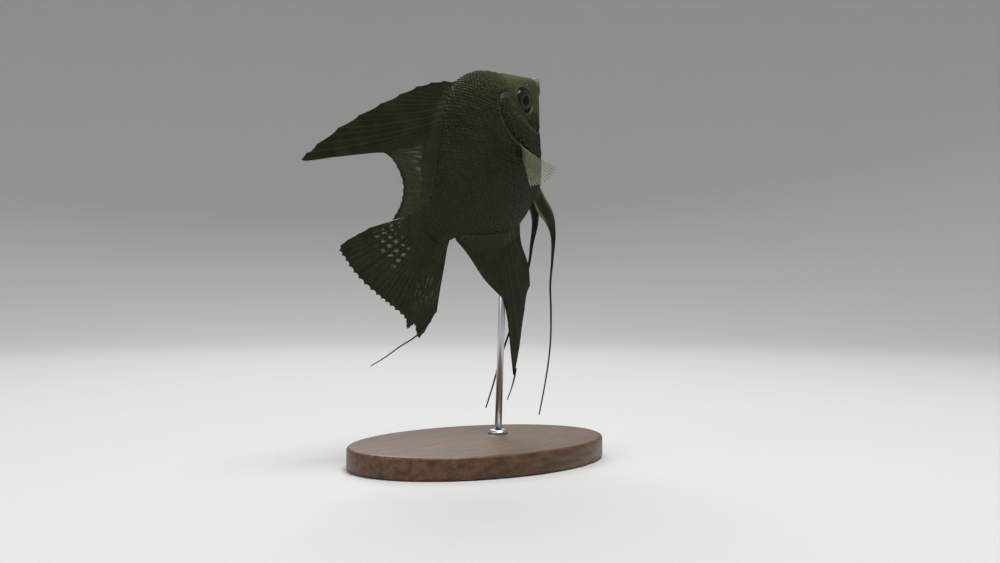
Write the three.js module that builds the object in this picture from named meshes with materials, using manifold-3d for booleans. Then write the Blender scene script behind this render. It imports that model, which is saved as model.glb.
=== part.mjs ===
// A freshwater angelfish at life size, held above a flat base by one rod.
// Millimetres, +Z up, the fish heads along +X with its nose raised; the origin is
// the middle of the underside of the base.
import * as THREE from 'three';
import { mergeVertices } from 'three/addons/utils/BufferGeometryUtils.js';
import Module from 'manifold-3d';

const wasm = await Module();
wasm.setup();

// Driving dimensions. Inside the fish, "aft" is the distance behind the tip of the
// snout and "rise" the height over it, both along the fish's own axis.
const gap = 0.3;                                  // left between neighbouring solids
const pitch = THREE.MathUtils.degToRad(43.9);     // nose up
const snoutPlace = new THREE.Vector3(36.2, 0, 142.1);
const bendStart = 45;                             // the tail swings to the left from here
const bendRate = 0.00196;
const medianThickness = { root: 1.4, margin: 0.6 };
const pelvicThickness = { root: 0.9, margin: 0.6 };
const pectoralThickness = { root: 1.1, margin: 0.5 };
const eye = { radius: 4.8, depth: 2.9, turn: 0.1, aft: 17.5, side: 3.7, rise: 4.3 };
const gillCover = { step: 0.35, depth: 0.9 };     // how far it stands proud, and how far it goes in
const base = { length: 112, width: 78, height: 8, bevel: 1.2 };
const rod = { radius: 1.3, foot: [18, 5.4], top: [18, 1.8, 95], socketDepth: 4 };
const collar = { bore: 1.8, radius: 3.8, height: 1.6, shoulder: 0.8, slope: 0.9 };
const beyond = 100;                               // past the fish on any side
const tall = 40;                                  // past its back and its belly

const finishes = {
  flesh: { color: 0x23281c, roughness: 0.55 },
  cover: { color: 0x272c20, roughness: 0.5 },
  jaw: { color: 0x2a2f22, roughness: 0.5 },
  fin: { color: 0x1a1d15, roughness: 0.6 },
  clearFin: { color: 0x8b9470, roughness: 0.4, opacity: 0.7, transparent: true },
  eye: { color: 0x0d0e0b, roughness: 0.1 },
  wood: { color: 0x4a3222, roughness: 0.5 },
  steel: { color: 0xb4b6b8, roughness: 0.3, metalness: 1 },
};

// ---- small tools ----

// A smooth function through a few [place, value] stations.
function through(stations) {
  const slope = stations.map((point, i) => {
    const before = stations[Math.max(i - 1, 0)];
    const after = stations[Math.min(i + 1, stations.length - 1)];
    return (after[1] - before[1]) / (after[0] - before[0]);
  });
  return (place) => {
    let i = 0;
    while (i < stations.length - 2 && place > stations[i + 1][0]) i += 1;
    const [start, from] = stations[i];
    const [end, to] = stations[i + 1];
    const span = end - start;
    const t = THREE.MathUtils.clamp((place - start) / span, 0, 1);
    const t2 = t * t;
    const t3 = t2 * t;
    return from * (2 * t3 - 3 * t2 + 1) + slope[i] * span * (t3 - 2 * t2 + t)
      + to * (3 * t2 - 2 * t3) + slope[i + 1] * span * (t3 - t2);
  };
}

const { lerp } = THREE.MathUtils;
const inFish = (aft, side, rise) => new THREE.Vector3(-aft, side, rise);
const bendAt = (aft) => bendRate * Math.max(aft - bendStart, 0) ** 2;

function solidFrom(geometry) {
  const bare = geometry.clone();
  bare.deleteAttribute('normal');
  bare.deleteAttribute('uv');
  const merged = mergeVertices(bare, 1e-4);
  const vertProperties = new Float32Array(merged.attributes.position.array);
  const triVerts = new Uint32Array(merged.index.array);
  return new wasm.Manifold(new wasm.Mesh({ numProp: 3, vertProperties, triVerts }));
}

function geometryFrom(solid) {
  const mesh = solid.getMesh();
  const geometry = new THREE.BufferGeometry();
  geometry.setAttribute('position', new THREE.BufferAttribute(mesh.vertProperties, 3));
  geometry.setIndex(new THREE.BufferAttribute(mesh.triVerts, 1));
  return geometry;
}

function bent(solid) {
  const geometry = geometryFrom(solid);
  const position = geometry.attributes.position;
  for (let i = 0; i < position.count; i += 1) {
    position.setY(i, position.getY(i) + bendAt(-position.getX(i)));
  }
  return geometry;
}

// Joins rings of points into a closed skin, with a flat fan on each end.
function loft(rings) {
  const around = rings[0].length;
  const points = rings.flat();
  const index = [];
  for (let i = 0; i < rings.length - 1; i += 1) {
    for (let j = 0; j < around; j += 1) {
      const a = i * around + j;
      const b = i * around + ((j + 1) % around);
      index.push(a, a + around, b, b, a + around, b + around);
    }
  }
  [0, rings.length - 1].forEach((row, end) => {
    const middle = new THREE.Vector3();
    rings[row].forEach((point) => middle.addScaledVector(point, 1 / around));
    points.push(middle);
    for (let j = 0; j < around; j += 1) {
      const a = row * around + j;
      const b = row * around + ((j + 1) % around);
      index.push(...(end ? [points.length - 1, b, a] : [points.length - 1, a, b]));
    }
  });
  const geometry = new THREE.BufferGeometry().setFromPoints(points);
  geometry.setIndex(index);
  return outward(geometry);
}

// Turns a closed skin the right way out where its loops ran the other way.
function outward(geometry) {
  const position = geometry.attributes.position;
  const index = geometry.index.array;
  const corner = [0, 1, 2].map(() => new THREE.Vector3());
  let volume = 0;
  for (let i = 0; i < index.length; i += 3) {
    corner.forEach((point, k) => point.fromBufferAttribute(position, index[i + k]));
    volume += corner[0].dot(corner[1].cross(corner[2]));
  }
  if (volume < 0) index.reverse();
  return geometry;
}

// Gives a sheet of points, in rows of equal length, its thickness on both sides.
function plate(rows, thicknessAt) {
  const steps = rows[0].length;
  const faces = [[], []];
  const along = new THREE.Vector3();
  const across = new THREE.Vector3();
  rows.forEach((row, i) => row.forEach((point, j) => {
    along.subVectors(row[Math.min(j + 1, steps - 1)], row[Math.max(j - 1, 0)]);
    across.subVectors(rows[Math.min(i + 1, rows.length - 1)][j], rows[Math.max(i - 1, 0)][j]);
    const normal = new THREE.Vector3().crossVectors(along, across).normalize();
    const half = thicknessAt(i / (rows.length - 1), j / (steps - 1)) / 2;
    faces[0].push(point.clone().addScaledVector(normal, half));
    faces[1].push(point.clone().addScaledVector(normal, -half));
  }));
  const count = faces[0].length;
  const index = [];
  const quad = (a, b, c, d) => index.push(a, b, c, a, c, d);
  for (let i = 0; i < rows.length - 1; i += 1) {
    for (let j = 0; j < steps - 1; j += 1) {
      const a = i * steps + j;
      quad(a, a + 1, a + steps + 1, a + steps);
      quad(count + a, count + a + steps, count + a + steps + 1, count + a + 1);
    }
  }
  const rim = [];
  for (let j = 0; j < steps - 1; j += 1) rim.push(j);
  for (let i = 0; i < rows.length - 1; i += 1) rim.push(i * steps + steps - 1);
  for (let j = steps - 1; j > 0; j -= 1) rim.push((rows.length - 1) * steps + j);
  for (let i = rows.length - 1; i > 0; i -= 1) rim.push(i * steps);
  rim.forEach((a, k) => {
    const b = rim[(k + 1) % rim.length];
    quad(b, a, count + a, count + b);
  });
  const geometry = new THREE.BufferGeometry().setFromPoints(faces.flat());
  geometry.setIndex(index);
  return outward(geometry);
}

// A flat-sided block over an outline of [aft, rise] points, from one side to another.
function prism(outline, fromSide, toSide) {
  const shape = new THREE.Shape(outline.map(([aft, rise]) => new THREE.Vector2(-aft, rise)));
  const block = new THREE.ExtrudeGeometry(shape, { depth: toSide - fromSide, bevelEnabled: false });
  block.rotateX(Math.PI / 2);
  block.translate(0, toSide, 0);
  return solidFrom(block);
}

// ---- body ----

const bodyStart = 0.9;
const bodyEnd = 86.6;
const backRise = through([
  [bodyStart, 2.6], [2.2, 3.9], [4, 5.6], [8.4, 9.8], [14, 15.2], [20.5, 21.2], [26, 25.4],
  [32, 28.6], [38, 30.4], [44, 30.6], [52, 27.8], [61, 21.6], [70, 14], [77, 8.7], [82, 7],
  [85, 4.6], [bodyEnd, 1.4],
]);
const bellyRise = through([
  [bodyStart, 1.3], [2, -0.6], [4, -2.9], [7.5, -7.1], [11.5, -11.6], [15.6, -16], [19, -20.4],
  [22.5, -25], [26.5, -29.2], [34, -31], [42, -31.6], [49, -31], [57, -26.8], [66, -19.6],
  [74, -12.4], [79, -10], [83, -8.4], [85.2, -5.8], [bodyEnd, -3],
]);
const halfWidth = through([
  [bodyStart, 1], [2.5, 1.9], [6, 3.1], [11, 4.4], [17, 5.7], [24, 6.7], [32, 7.1], [45, 6.6],
  [58, 5.2], [70, 3.5], [79, 2.3], [84, 1.6], [bodyEnd, 0.9],
]);
const waistRise = through([
  [bodyStart, 1.9], [10, 1.2], [24, -1.5], [45, 0], [70, -0.5], [bodyEnd, -0.8],
]);
const bodyStations = 34;
const stationCrowding = 0.1;                      // draws the stations towards snout and tail
const bodySides = 20;
const keelSharpness = 1.45;                       // over 1 draws back and belly to a ridge
const ridge = 0.25;                               // half the thickness of that ridge

function bodyRing(aft, grow) {
  const waist = waistRise(aft);
  return Array.from({ length: bodySides }, (_, j) => {
    const angle = (2 * Math.PI * j) / bodySides;
    const up = Math.sin(angle);
    const out = Math.cos(angle);
    const reach = up > 0 ? backRise(aft) + grow - waist : waist - bellyRise(aft) + grow;
    const side = Math.sign(out) * Math.abs(out) ** keelSharpness * (halfWidth(aft) + grow);
    return [side + Math.sign(out) * ridge, waist + reach * up];
  });
}

function bodySolid(grow) {
  const rings = [];
  for (let i = 0; i <= bodyStations; i += 1) {
    const t = i / bodyStations;
    const aft = lerp(bodyStart, bodyEnd, t - stationCrowding * Math.sin(2 * Math.PI * t));
    const shift = grow * (2 * t - 1);
    rings.push(bodyRing(aft, grow).map(([side, rise]) => inFish(aft + shift, side, rise)));
  }
  return solidFrom(loft(rings));
}

const body = bodySolid(0);
const aroundBody = bodySolid(gap);

// ---- fins along the middle plane ----

function spline(points) {
  return new THREE.SplineCurve(points.map(([aft, rise]) => new THREE.Vector2(aft, rise)));
}

// A fin of rays, each from its place along the root to its tip. The tips are given as
// [ray number, aft, rise]. The spines at the front end in points, so the margin steps
// in between each pair of them.
function medianFin({ root, tips, spines, notch, web, steps, sweep }) {
  const rays = tips[tips.length - 1][0];
  const tipAft = through(tips.map(([ray, aft]) => [ray, aft]));
  const tipRise = through(tips.map(([ray, , rise]) => [ray, rise]));
  const rows = [];
  for (let ray = 0; ray <= rays; ray += 0.5) {
    const from = root.getPoint(ray / rays);
    const to = new THREE.Vector2(tipAft(ray), tipRise(ray));
    if (ray % 1) to.lerp(from, (ray < spines ? notch : web) / from.distanceTo(to));
    const across = new THREE.Vector2(to.y - from.y, from.x - to.x);
    across.multiplyScalar(Math.sign(to.y - from.y));
    rows.push(Array.from({ length: steps + 1 }, (_, j) => {
      const s = j / steps;
      const point = from.clone().lerp(to, s).addScaledVector(across, sweep * s * (1 - s));
      return inFish(point.x, 0, point.y);
    }));
  }
  const { root: thickest, margin } = medianThickness;
  const thickness = (across, along) => lerp(margin, thickest, (1 - along) ** 2);
  return solidFrom(plate(rows, thickness)).subtract(aroundBody);
}

const dorsalFin = medianFin({
  root: spline([[39, 28.5], [48, 27.6], [58, 22], [68, 14], [78.6, 5.9]]),
  tips: [[0, 39.5, 32], [1.5, 48, 37], [3, 58, 42.2], [4.5, 70, 46.4], [6, 84, 50.6],
    [7.5, 98, 53.6], [9, 110.6, 54], [10.5, 103, 48.2], [12, 92, 41.2], [14, 84.5, 35.5],
    [15.5, 82.4, 29.5], [17, 84, 21], [18.5, 88.6, 15.7], [20, 94.2, 13.6]],
  spines: 8.5, notch: 1.3, web: 0.5, steps: 4, sweep: 0.06,
});

const analFin = medianFin({
  root: spline([[46, -30], [55, -26.5], [65, -19], [71, -13.8], [76, -9.4]]),
  tips: [[0, 47.2, -33.4], [1, 51.2, -38.6], [2, 53.6, -47], [3, 58, -53], [4, 66, -58],
    [5, 85.2, -73.8], [6, 80.6, -65.6], [7, 75.6, -57.4], [8, 72.4, -50.8], [11, 73.2, -42.4],
    [14, 75, -31], [16, 76, -20], [18, 77, -12.4]],
  spines: 4, notch: 1.1, web: 0.4, steps: 4, sweep: 0.05,
});

const caudalFin = medianFin({
  root: spline([[80, 5.6], [83.5, 3.6], [85, -1], [83, -6], [79.5, -9]]),
  tips: [[0, 103.5, 18.1], [1.5, 115.8, 21.4], [3, 117.2, 16], [4.5, 116.4, 7], [6, 114.2, -3],
    [7.5, 112.6, -10], [9, 111.2, -17.6], [10.5, 112.6, -21.6], [12, 109, -23.4], [13.5, 110, -28.8],
    [15, 99.3, -26.2]],
  spines: 0, notch: 0, web: 0.8, steps: 4, sweep: 0,
});

// A thread that tapers to a blunt tip, oval in section.
function thread(points) {
  const [startWidth, endWidth] = [0.8, 0.5];
  const curve = new THREE.CatmullRomCurve3(points.map(([aft, rise]) => inFish(aft, 0, rise)));
  const count = 9;
  const sides = 5;
  const rings = curve.getPoints(count).map((centre, i) => {
    const t = i / count;
    const along = curve.getTangent(t);
    const across = new THREE.Vector3(0, 1, 0);
    const up = new THREE.Vector3().crossVectors(along, across);
    const radius = lerp(startWidth, endWidth, t) / 2;
    return Array.from({ length: sides }, (_, j) => {
      const angle = (2 * Math.PI * j) / sides;
      return centre.clone().addScaledVector(up, radius * Math.cos(angle))
        .addScaledVector(across, radius * Math.sin(angle));
    });
  });
  return solidFrom(loft(rings));
}

const caudalThread = thread([
  [107, -27.2], [112, -26.4], [117.6, -24.8], [124.2, -23.5], [130.1, -21.8],
]);
const analThread = thread([[83.4, -72.2], [87, -75], [90, -76.7], [94, -78.6]]);

// ---- paired fins ----

const pelvicRoot = 1.9;                           // from the middle plane
const pelvicSplay = 0.7;                          // how much farther out the rest of it is

// A long ribbon that narrows to a thread, beside the middle plane.
function pelvicFin({ line, widths, side }) {
  const path = spline(line);
  const count = 22;
  const rows = [];
  for (let i = 0; i <= count; i += 1) {
    const t = i / count;
    const centre = path.getPoint(t);
    const along = path.getTangent(t);
    const out = side * (pelvicRoot + pelvicSplay * Math.min(t * 3, 1));
    rows.push([-0.5, 0, 0.5].map((place) => {
      const across = widths(t) * place;
      return inFish(centre.x + along.y * across, out, centre.y - along.x * across);
    }));
  }
  const { root, margin } = pelvicThickness;
  const thickness = (along) => lerp(root, margin, Math.min(2 * along, 1));
  return solidFrom(plate(rows, thickness)).subtract(aroundBody);
}

const pelvicFinRight = pelvicFin({
  line: [[31.8, -26], [32.6, -34.5], [32.8, -41], [36.2, -47.4], [43.4, -53.8], [50.6, -59.6],
    [56.9, -67.2], [64.8, -76], [73.8, -83.8], [87.5, -94.1]],
  widths: through([
    [0, 6.4], [0.12, 7.8], [0.22, 6.6], [0.32, 3.6], [0.45, 1.5], [0.6, 0.9], [1, 0.55],
  ]),
  side: -1,
});

const pelvicFinLeft = pelvicFin({
  line: [[31.8, -26], [32.4, -33.5], [36.2, -39.6], [43.4, -44.6], [50, -49], [62, -55],
    [75.2, -60.6], [84.6, -65], [93.3, -70.2], [101.5, -75.1]],
  widths: through([
    [0, 6.2], [0.12, 6.8], [0.22, 4.4], [0.34, 2.2], [0.5, 1.2], [0.7, 0.8], [1, 0.55],
  ]),
  side: 1,
});

const pectoral = {
  rootTop: [32.6, 6, -3.4], rootFoot: [34, 6, -8],            // aft, side, rise
  leadReach: [6.4, 17, -7.4], trailReach: [11.4, 7, -6.1],    // from the root to the tips
  fullness: 0.16,                                             // how far the middle rays pass both
  droop: 1.6,
};

function pectoralFin(side) {
  const rays = 9;
  const steps = 4;
  const toFish = ([aft, out, rise]) => inFish(aft, side * out, rise);
  const rootTop = toFish(pectoral.rootTop);
  const rootFoot = toFish(pectoral.rootFoot);
  const lead = toFish(pectoral.leadReach);
  const trail = toFish(pectoral.trailReach);
  const rows = [];
  for (let i = 0; i <= rays; i += 1) {
    const t = i / rays;
    const from = rootTop.clone().lerp(rootFoot, t);
    const reach = lead.clone().lerp(trail, t);
    reach.multiplyScalar(1 + pectoral.fullness * Math.sin(Math.PI * t));
    rows.push(Array.from({ length: steps + 1 }, (_, j) => {
      const s = j / steps;
      const point = from.clone().addScaledVector(reach, s);
      point.z -= pectoral.droop * 4 * s * (1 - s);
      return point;
    }));
  }
  const { root, margin } = pectoralThickness;
  const thickness = (across, along) => lerp(root, margin, Math.min(2 * along, 1));
  const aroundCover = prism(coverOutline(gap), -beyond, beyond)
    .intersect(bodySolid(gillCover.step + gap));
  return solidFrom(plate(rows, thickness)).subtract(aroundBody).subtract(aroundCover);
}

// ---- gill covers, jaw, eyes ----

const coverMiddle = new THREE.Vector2(25.5, -2);
const coverEdge = [
  [22.6, 12], [27, 14.4], [31, 11.2], [32.8, 4.2], [31.8, -2], [29.6, -8], [27, -13.6],
  [23, -18], [18.4, -17.2], [15.4, -12.6], [18.4, -7.6], [21.4, -1.4], [22.4, 5],
];

function coverOutline(grow) {
  const corners = coverEdge.map(([aft, rise]) => new THREE.Vector3(aft, rise, 0));
  const curve = new THREE.CatmullRomCurve3(corners, true);
  return curve.getPoints(2 * corners.length).slice(0, -1).map(({ x, y }) => {
    const outwards = new THREE.Vector2(x, y).sub(coverMiddle).setLength(grow);
    return [x + outwards.x, y + outwards.y];
  });
}

const sideSpan = { left: [1.5, 20], right: [-20, -1.5] };
const coverOuter = bodySolid(gillCover.step);
const coverInner = bodySolid(-gillCover.depth);
const pocketFloor = bodySolid(-gillCover.depth - gap);

function gillCoverSolid(span) {
  return prism(coverOutline(0), ...span).intersect(coverOuter).subtract(coverInner);
}

function gillPocket(span) {
  return prism(coverOutline(gap), ...span).subtract(pocketFloor);
}

function jawOutline(grow) {
  return [[-3, 1.7 + grow], [1.2, 0.9 + grow], [4.6 + grow, -1.3 + grow],
    [6.6 + grow, -6.6], [6.2 + grow, -12], [-3, -12]];
}

function eyeSolid(side, grow) {
  const ball = new THREE.SphereGeometry(1, 16, 10);
  ball.rotateX(Math.PI / 2);
  ball.scale(eye.radius + grow, eye.depth + grow, eye.radius + grow);
  ball.rotateZ(side * eye.turn);
  ball.translate(-eye.aft, side * eye.side, eye.rise);
  return solidFrom(ball);
}

// ---- the body parted into head, trunk and tail ----

const neck = [[34.5, tall], [33.6, 0], [21, -tall]];
const neckBehind = neck.map(([aft, rise]) => [aft + gap, rise]);
const tailStart = 75.4;
const slice = (outline) => prism(outline, -beyond, beyond);
const hollowed = body
  .subtract(eyeSolid(1, gap)).subtract(eyeSolid(-1, gap))
  .subtract(gillPocket(sideSpan.left)).subtract(gillPocket(sideSpan.right));
const headWithJaw = hollowed.intersect(slice([[-beyond, tall], ...neck, [-beyond, -tall]]));
const jaw = headWithJaw.intersect(slice(jawOutline(0)));
const head = headWithJaw.subtract(slice(jawOutline(gap)));
const trunk = hollowed.intersect(slice([...neckBehind, [tailStart, -tall], [tailStart, tall]]));
const tail = hollowed.intersect(slice([
  [tailStart + gap, tall], [beyond, tall], [beyond, -tall], [tailStart + gap, -tall],
]));

// ---- stand ----

const fish = new THREE.Group();
fish.rotation.y = -pitch;
fish.position.copy(snoutPlace);
fish.updateMatrixWorld();

const rodFoot = new THREE.Vector3(...rod.foot, base.height - rod.socketDepth);
const rodTop = new THREE.Vector3(...rod.top);
const rodLine = new THREE.Vector3().subVectors(rodTop, rodFoot);

// A round bar along the rod's line, longer and thicker than the rod by a clearance.
function bar(clearance) {
  const radius = rod.radius + clearance;
  const length = rodLine.length() + 2 * clearance;
  const cylinder = new THREE.CylinderGeometry(radius, radius, length, 20);
  const upright = new THREE.Vector3(0, 1, 0);
  const leaning = rodLine.clone().normalize();
  cylinder.applyQuaternion(new THREE.Quaternion().setFromUnitVectors(upright, leaning));
  const middle = rodFoot.clone().lerp(rodTop, 0.5);
  return cylinder.translate(middle.x, middle.y, middle.z);
}

const socket = solidFrom(bar(gap).applyMatrix4(fish.matrixWorld.clone().invert()));
const clearOfRod = (solid) => geometryFrom(solidFrom(bent(solid)).subtract(socket));

function basePlate() {
  const outline = new THREE.Shape();
  const [long, wide] = [base.length / 2 - base.bevel, base.width / 2 - base.bevel];
  outline.absellipse(0, 0, long, wide, 0, 2 * Math.PI);
  const slab = new THREE.ExtrudeGeometry(outline, {
    depth: base.height - 2 * base.bevel, bevelThickness: base.bevel, bevelSize: base.bevel,
    bevelSegments: 2, curveSegments: 18,
  });
  slab.translate(0, 0, base.bevel);
  return solidFrom(slab).subtract(solidFrom(bar(gap)));
}

function collarRing() {
  const profile = [
    [collar.bore, 0], [collar.radius, 0], [collar.radius, collar.shoulder],
    [collar.radius - collar.slope, collar.height], [collar.bore, collar.height], [collar.bore, 0],
  ];
  const ring = new THREE.LatheGeometry(profile.map(([x, y]) => new THREE.Vector2(x, y)), 24);
  ring.rotateX(Math.PI / 2);
  const atTop = (base.height - rodFoot.z) / rodLine.z;
  const centre = rodFoot.clone().lerp(rodTop, atTop);
  ring.translate(centre.x, centre.y, base.height);
  return ring;
}

// ---- the scene graph ----

function named(name, geometry, finish) {
  const mesh = new THREE.Mesh(geometry, new THREE.MeshStandardMaterial(finishes[finish]));
  mesh.name = name;
  return mesh;
}

const model = new THREE.Group();
fish.add(
  named('head', bent(head), 'flesh'),
  named('lower_jaw', bent(jaw), 'jaw'),
  named('gill_cover_left', bent(gillCoverSolid(sideSpan.left)), 'cover'),
  named('gill_cover_right', bent(gillCoverSolid(sideSpan.right)), 'cover'),
  named('trunk', clearOfRod(trunk), 'flesh'),
  named('tail', bent(tail), 'flesh'),
  named('dorsal_fin', bent(dorsalFin), 'fin'),
  named('anal_fin', clearOfRod(analFin.add(analThread)), 'fin'),
  named('caudal_fin', bent(caudalFin.add(caudalThread)), 'fin'),
  named('pelvic_fin_left', bent(pelvicFinLeft), 'fin'),
  named('pelvic_fin_right', bent(pelvicFinRight), 'fin'),
  named('pectoral_fin_left', bent(pectoralFin(1)), 'clearFin'),
  named('pectoral_fin_right', bent(pectoralFin(-1)), 'clearFin'),
  named('eye_left', bent(eyeSolid(1, 0)), 'eye'),
  named('eye_right', bent(eyeSolid(-1, 0)), 'eye'),
);
model.add(
  fish,
  named('stand_base', geometryFrom(basePlate()), 'wood'),
  named('stand_collar', collarRing(), 'steel'),
  named('stand_rod', bar(0), 'steel'),
);

export default model;
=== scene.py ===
# A black freshwater angelfish at life size, nose up, on a small wooden stand.
# Lengths of the fish are millimetres in its own axes: aft is the distance behind the
# snout, side the distance to its left, and rise the height above its axis.
import math
import bmesh
import bpy
import numpy as np
from mathutils import Matrix, Vector


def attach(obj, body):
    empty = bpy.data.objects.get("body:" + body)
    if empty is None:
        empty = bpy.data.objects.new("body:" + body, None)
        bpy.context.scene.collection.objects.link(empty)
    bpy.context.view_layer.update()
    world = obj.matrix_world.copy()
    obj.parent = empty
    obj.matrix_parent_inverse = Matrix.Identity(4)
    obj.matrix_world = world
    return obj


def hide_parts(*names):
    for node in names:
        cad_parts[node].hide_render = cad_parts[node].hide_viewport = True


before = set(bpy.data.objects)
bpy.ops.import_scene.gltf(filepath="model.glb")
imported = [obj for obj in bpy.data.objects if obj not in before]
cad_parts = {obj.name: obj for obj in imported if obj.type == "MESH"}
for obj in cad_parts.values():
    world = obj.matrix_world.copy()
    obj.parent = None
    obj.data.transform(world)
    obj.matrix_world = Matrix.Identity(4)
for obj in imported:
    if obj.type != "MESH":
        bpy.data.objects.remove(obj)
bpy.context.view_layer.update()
print("frame loaded")

# ---- the fish's own axes ----

stance = {
    "pitch": math.radians(43.9),      # nose up
    "snout": (36.2, 142.1),           # x and z of the tip of the snout
    "bendStart": 45,                  # the tail swings to the left from here
    "bendRate": 0.00196,
}
cosPitch = math.cos(stance["pitch"])
sinPitch = math.sin(stance["pitch"])
millimetre = 0.001


def toWorld(aft, side, rise):
    x = stance["snout"][0] - aft * cosPitch - rise * sinPitch
    y = side + stance["bendRate"] * np.maximum(aft - stance["bendStart"], 0) ** 2
    z = stance["snout"][1] - aft * sinPitch + rise * cosPitch
    return np.stack([x, y, z], -1) * millimetre


def smooth(t):
    t = np.clip(t, 0, 1)
    return t * t * (3 - 2 * t)


def swell(t):
    return np.exp(-t * t)


def mix(a, b, t):
    return a + (b - a) * t


def through(stations):
    # a smooth function through a few [place, value] stations
    places, values = np.array(stations, float).T
    last = len(places) - 1
    before = np.maximum(np.arange(last + 1) - 1, 0)
    after = np.minimum(np.arange(last + 1) + 1, last)
    slopes = (values[after] - values[before]) / (places[after] - places[before])

    def at(place):
        place = np.asarray(place, float)
        i = np.clip(np.searchsorted(places, place) - 1, 0, last - 1)
        span = places[i + 1] - places[i]
        t = np.clip((place - places[i]) / span, 0, 1)
        start = values[i] * (2 * t ** 3 - 3 * t ** 2 + 1) + slopes[i] * span * (t ** 3 - 2 * t ** 2 + t)
        return start + values[i + 1] * (3 * t ** 2 - 2 * t ** 3) + slopes[i + 1] * span * (t ** 3 - t ** 2)

    return at


def along(points, t, closed=False):
    # a smooth curve through points, t from 0 to 1
    points = np.array(points, float)
    count = len(points)
    steps = count if closed else count - 1
    place = np.clip(np.asarray(t, float), 0, 1) * steps
    i = np.minimum(place.astype(int), steps - 1)
    w = (place - i)[..., None]
    pick = (lambda k: points[k % count]) if closed else (lambda k: points[np.clip(k, 0, count - 1)])
    p0, p1, p2, p3 = pick(i - 1), pick(i), pick(i + 1), pick(i + 2)
    v0, v1 = (p2 - p0) / 2, (p3 - p1) / 2
    return (2 * p1 - 2 * p2 + v0 + v1) * w ** 3 + (3 * p2 - 3 * p1 - 2 * v0 - v1) * w ** 2 + v0 * w + p1


def offLine(aft, rise, line, closed=False):
    # the distance to a line of [aft, rise] points, positive inside a closed one or ahead of an open one
    nearest = np.full(np.shape(aft), 1e9)
    sign = np.full(np.shape(aft), -1.0)
    ends = np.roll(line, -1, 0) if closed else line[1:]
    for (a0, r0), (a1, r1) in zip(line, ends):
        length = (a1 - a0) ** 2 + (r1 - r0) ** 2
        t = np.clip(((aft - a0) * (a1 - a0) + (rise - r0) * (r1 - r0)) / length, 0, 1)
        gap = np.hypot(aft - a0 - t * (a1 - a0), rise - r0 - t * (r1 - r0))
        if closed:
            crossed = (r0 > rise) != (r1 > rise)
            edge = a0 + (rise - r0) * (a1 - a0) / (r1 - r0 if r1 != r0 else 1e-9)
            sign = np.where(crossed & (aft < edge), -sign, sign)
        else:
            turn = np.where((a1 - a0) * (rise - r0) - (r1 - r0) * (aft - a0) > 0, -1.0, 1.0)
            sign = np.where(gap < nearest, turn, sign)
        nearest = np.minimum(nearest, gap)
    return nearest * sign


# ---- making meshes ----

def gridSheet(columns, rows, thick=False):
    # a sheet from 0 to 1 both ways, z from 0 down to -1 where it is thick
    bm = bmesh.new()
    bm.loops.layers.uv.new("sheet")
    middle = Matrix.Translation((0.5, 0.5, 0))
    bmesh.ops.create_grid(bm, x_segments=columns, y_segments=rows, size=0.5, matrix=middle, calc_uvs=True)
    if thick:
        bmesh.ops.solidify(bm, geom=bm.faces[:], thickness=1)
    return bm


def warp(bm, shape):
    places = np.array([vert.co for vert in bm.verts])
    for vert, co in zip(bm.verts, shape(*places.T)):
        vert.co = co
    return bm


def slab(columns, rows, middle, half):
    # a thin closed plate on both sides of a surface, middle(u, v) being its [aft, side, rise]
    step = 1e-3

    def shape(u, v, z):
        du = middle(u + step, v) - middle(u - step, v)
        dv = middle(u, v + step) - middle(u, v - step)
        normal = np.cross(du, dv)
        normal /= np.maximum(np.linalg.norm(normal, axis=1, keepdims=True), 1e-12)
        face = (1 + 2 * z)[:, None]
        return toWorld(*(middle(u, v) + normal * face * half(u, v)[:, None]).T)

    bm = warp(gridSheet(columns, rows, thick=True), shape)
    bmesh.ops.recalc_face_normals(bm, faces=bm.faces[:])
    return bm


def newPiece(name, bm, finish, nodes=(), flat=False):
    mesh = bpy.data.meshes.new(name)
    bm.to_mesh(mesh)
    bm.free()
    return dress(name, mesh, finish, nodes, flat)


def dress(name, mesh, finish, nodes=(), flat=False):
    mesh.polygons.foreach_set("use_smooth", [not flat] * len(mesh.polygons))
    mesh.materials.append(finish)
    piece = bpy.data.objects.new(name, mesh)
    bpy.context.collection.objects.link(piece)
    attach(piece, "root")
    if nodes:
        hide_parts(*nodes)
    return piece


# ---- shader maths ----

class Link:
    # a node's output, which takes part in sums
    def __init__(self, finish, socket):
        self.finish = finish
        self.socket = socket

    def math(self, operation, *values, clamp=False):
        settings = {"operation": operation, "use_clamp": clamp}
        return self.finish.node("ShaderNodeMath", settings, dict(enumerate(values)))

    def __add__(self, other):
        return self.math("ADD", self, other)

    def __radd__(self, other):
        return self.math("ADD", other, self)

    def __sub__(self, other):
        return self.math("SUBTRACT", self, other)

    def __rsub__(self, other):
        return self.math("SUBTRACT", other, self)

    def __mul__(self, other):
        return self.math("MULTIPLY", self, other)

    def __rmul__(self, other):
        return self.math("MULTIPLY", other, self)

    def __truediv__(self, other):
        return self.math("DIVIDE", self, other)

    def __pow__(self, other):
        return self.math("POWER", self, other)

    def fraction(self):
        return self.math("FRACT", self)

    def size(self):
        return self.math("ABSOLUTE", self)

    def larger(self, other):
        return self.math("MAXIMUM", self, other)

    def smaller(self, other):
        return self.math("MINIMUM", self, other)

    def between(self, start, end):
        # 0 before start, 1 past end, smooth in between; start may be the larger
        low, high, results = (start, end, (0, 1)) if start < end else (end, start, (1, 0))
        sockets = {"Value": self, "From Min": low, "From Max": high, "To Min": results[0], "To Max": results[1]}
        return self.finish.node("ShaderNodeMapRange", {"interpolation_type": "SMOOTHSTEP"}, sockets)


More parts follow.
